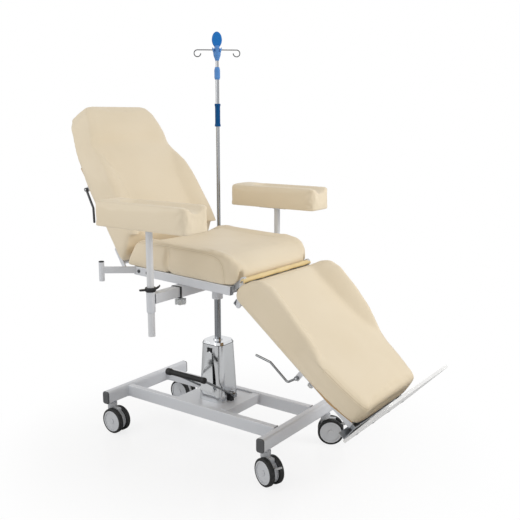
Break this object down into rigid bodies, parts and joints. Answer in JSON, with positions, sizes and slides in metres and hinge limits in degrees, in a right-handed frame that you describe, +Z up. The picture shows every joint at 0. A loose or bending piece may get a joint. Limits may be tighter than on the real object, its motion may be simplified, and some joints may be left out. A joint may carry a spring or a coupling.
{
  "type": "phlebotomy chair",
  "caption": "Reclining phlebotomy chair on a pumped column and wheeled base, with folding leg rest, swivelling arm pads and an infusion pole.",
  "frame": {"origin": "on the floor, under the middle of the whole chair's length and width", "axes": "+Z up, +X towards the foot end, +Y towards the patient's left side, where the infusion pole stands"},
  "size_m": [1.8196, 1.1002, 1.978],
  "materials": {
    "frame_paint": "satin",
    "chrome": "polished",
    "post_paint": "satin",
    "steel": "brushed",
    "dark_plastic": "matte",
    "cap_grey": "satin",
    "grey_plastic": "satin",
    "wheel_grey": "satin",
    "tyre": "matte",
    "grip_rubber": "matte",
    "brake_plastic": "satin",
    "upholstery": "smooth coated fabric",
    "plywood": "sealed",
    "dark_blue": "satin",
    "light_blue": "satin",
    "foot_white": "satin"
  },
  "bodies": {
    "base": {"base_frame": "frame_paint", "base_end_caps": "cap_grey", "pump_cover": "chrome", "pump_cylinder": "steel", "pump_bolts": "steel", "pedal_blocks": "dark_plastic"},
    "pedal": {"pedal_frame": "chrome", "pedal_grip": "grip_rubber"},
    "lift": {"column_rod": "chrome", "column_head": "frame_paint", "arm_sleeve": "frame_paint", "frame_bushes": "dark_plastic", "seat_frame": "frame_paint", "seat_board": "plywood", "seat_bolts": "steel", "seat_cushion": "upholstery", "iv_sockets": "frame_paint"},
    "back": {"back_frame": "frame_paint", "back_board": "plywood", "back_cushion": "upholstery"},
    "back_lever": {"back_lever": "dark_plastic"},
    "leg": {"leg_frame": "frame_paint", "leg_board": "plywood", "leg_cushion": "upholstery"},
    "leg_lever": {"leg_lever": "chrome"},
    "foot": {"foot_slides": "steel", "foot_plate": "foot_white"},
    "foot_knob": {"foot_lock_knob": "grey_plastic"},
    "pole": {"pole_lower": "chrome", "pole_grip": "dark_blue", "pole_collar": "light_blue"},
    "pole_top": {"pole_upper": "chrome", "pole_hooks": "chrome", "pole_hub": "light_blue"},
    "swivel_front_right": {"caster_housing_front_right": "grey_plastic"},
    "wheel_front_right": {"caster_wheels_front_right": "wheel_grey", "caster_tyres_front_right": "tyre"},
    "brake_front_right": {"brake_pedal_front_right": "brake_plastic"},
    "swivel_front_left": {"caster_housing_front_left": "grey_plastic"},
    "wheel_front_left": {"caster_wheels_front_left": "wheel_grey", "caster_tyres_front_left": "tyre"},
    "brake_front_left": {"brake_pedal_front_left": "brake_plastic"},
    "swivel_rear_right": {"caster_housing_rear_right": "grey_plastic"},
    "wheel_rear_right": {"caster_wheels_rear_right": "wheel_grey", "caster_tyres_rear_right": "tyre"},
    "swivel_rear_left": {"caster_housing_rear_left": "grey_plastic"},
    "wheel_rear_left": {"caster_wheels_rear_left": "wheel_grey", "caster_tyres_rear_left": "tyre"},
    "arm_right": {"arm_bar_right": "frame_paint"},
    "clamp_right": {"arm_clamp_right": "dark_plastic"},
    "post_right": {"arm_post_right": "post_paint"},
    "pad_right": {"arm_mount_right": "dark_plastic", "arm_pad_right": "upholstery"},
    "knob_right": {"arm_knob_right": "grey_plastic"},
    "arm_left": {"arm_bar_left": "frame_paint"},
    "clamp_left": {"arm_clamp_left": "dark_plastic"},
    "post_left": {"arm_post_left": "post_paint"},
    "pad_left": {"arm_mount_left": "dark_plastic", "arm_pad_left": "upholstery"},
    "knob_left": {"arm_knob_left": "grey_plastic"}
  },
  "joints": [
    {"name": "swivel_front_right", "type": "hinge", "parent": "base", "child": "swivel_front_right", "pos_m": [0.3204, -0.25, 0.146], "axis": [0, 0, 1], "continuous": true},
    {"name": "wheel_front_right", "type": "hinge", "parent": "swivel_front_right", "child": "wheel_front_right", "pos_m": [0.34506, -0.25825, 0.0625], "axis": [0.3173, 0.9483, 0], "continuous": true},
    {"name": "brake_front_right", "type": "hinge", "parent": "swivel_front_right", "child": "brake_front_right", "pos_m": [0.3773, -0.26904, 0.086], "axis": [0.3173, 0.9483, 0], "range_deg": [0, 15]},
    {"name": "swivel_front_left", "type": "hinge", "parent": "base", "child": "swivel_front_left", "pos_m": [0.3204, 0.25, 0.146], "axis": [0, 0, 1], "continuous": true},
    {"name": "wheel_front_left", "type": "hinge", "parent": "swivel_front_left", "child": "wheel_front_left", "pos_m": [0.34269, 0.26339, 0.0625], "axis": [-0.515, 0.8572, 0], "continuous": true},
    {"name": "brake_front_left", "type": "hinge", "parent": "swivel_front_left", "child": "brake_front_left", "pos_m": [0.37183, 0.2809, 0.086], "axis": [-0.515, 0.8572, 0], "range_deg": [0, 15]},
    {"name": "swivel_rear_right", "type": "hinge", "parent": "base", "child": "swivel_rear_right", "pos_m": [-0.6186, -0.25, 0.146], "axis": [0, 0, 1], "continuous": true},
    {"name": "wheel_rear_right", "type": "hinge", "parent": "swivel_rear_right", "child": "wheel_rear_right", "pos_m": [-0.5926, -0.25, 0.0625], "axis": [0, 1, 0], "continuous": true},
    {"name": "swivel_rear_left", "type": "hinge", "parent": "base", "child": "swivel_rear_left", "pos_m": [-0.6186, 0.25, 0.146], "axis": [0, 0, 1], "continuous": true},
    {"name": "wheel_rear_left", "type": "hinge", "parent": "swivel_rear_left", "child": "wheel_rear_left", "pos_m": [-0.5926, 0.25, 0.0625], "axis": [0, 1, 0], "continuous": true},
    {"name": "pump_pedal", "type": "hinge", "parent": "base", "child": "pedal", "pos_m": [-0.1386, 0, 0.236], "axis": [1, 0, 0], "range_deg": [-8, 25]},
    {"name": "column_lift", "type": "slide", "parent": "base", "child": "lift", "axis": [0, 0, 1], "range_m": [-0.19, 0.02]},
    {"name": "back_recline", "type": "hinge", "parent": "lift", "child": "back", "pos_m": [-0.3766, 0, 0.857], "axis": [0, 1, 0], "range_deg": [-58, 8]},
    {"name": "back_lever", "type": "hinge", "parent": "back", "child": "back_lever", "pos_m": [-0.7221, -0.268, 1.20494], "axis": [0, 1, 0], "range_deg": [-8, 0]},
    {"name": "leg_fold", "type": "hinge", "parent": "lift", "child": "leg", "pos_m": [0.2064, 0, 0.88], "axis": [0, 1, 0], "range_deg": [-38.5, 15]},
    {"name": "leg_lever", "type": "hinge", "parent": "leg", "child": "leg_lever", "pos_m": [0.46312, -0.234, 0.49566], "axis": [0, 1, 0], "range_deg": [0, 8]},
    {"name": "foot_slide", "type": "slide", "parent": "leg", "child": "foot", "axis": [0.7826, 0, -0.6225], "range_m": [0, 0.09]},
    {"name": "foot_lock_knob", "type": "hinge", "parent": "leg", "child": "foot_knob", "pos_m": [0.5194, -0.2, 0.47645], "axis": [0.6225, 0, 0.7826], "range_deg": [-90, 90]},
    {"name": "pole_swivel", "type": "hinge", "parent": "lift", "child": "pole", "pos_m": [-0.4666, 0.4225, 0.86], "axis": [0, 0, 1], "continuous": true},
    {"name": "pole_slide", "type": "slide", "parent": "pole", "child": "pole_top", "axis": [0, 0, 1], "range_m": [0, 0.3]},
    {"name": "arm_reach_right", "type": "slide", "parent": "lift", "child": "arm_right", "axis": [0, -1, 0], "range_m": [0, 0.1]},
    {"name": "arm_clamp_right", "type": "hinge", "parent": "arm_right", "child": "clamp_right", "pos_m": [-0.1186, -0.47, 0.835], "axis": [0, 0, 1], "range_deg": [-30, 30]},
    {"name": "arm_height_right", "type": "slide", "parent": "arm_right", "child": "post_right", "axis": [0, 0, -1], "range_m": [-0.09, 0.15]},
    {"name": "pad_swivel_right", "type": "hinge", "parent": "post_right", "child": "pad_right", "pos_m": [-0.1186, -0.47, 1.06], "axis": [0, 0, 1], "range_deg": [-90, 15]},
    {"name": "arm_knob_right", "type": "hinge", "parent": "lift", "child": "knob_right", "pos_m": [-0.1186, -0.284, 0.76], "axis": [0, 0, 1], "range_deg": [-90, 90]},
    {"name": "arm_reach_left", "type": "slide", "parent": "lift", "child": "arm_left", "axis": [0, 1, 0], "range_m": [0, 0.1]},
    {"name": "arm_clamp_left", "type": "hinge", "parent": "arm_left", "child": "clamp_left", "pos_m": [-0.1186, 0.47, 0.835], "axis": [0, 0, 1], "range_deg": [-30, 30]},
    {"name": "arm_height_left", "type": "slide", "parent": "arm_left", "child": "post_left", "axis": [0, 0, -1], "range_m": [-0.09, 0.15]},
    {"name": "pad_swivel_left", "type": "hinge", "parent": "post_left", "child": "pad_left", "pos_m": [-0.1186, 0.47, 1.06], "axis": [0, 0, -1], "range_deg": [-90, 15]},
    {"name": "arm_knob_left", "type": "hinge", "parent": "lift", "child": "knob_left", "pos_m": [-0.1186, 0.284, 0.76], "axis": [0, 0, 1], "range_deg": [-90, 90]}
  ]
}
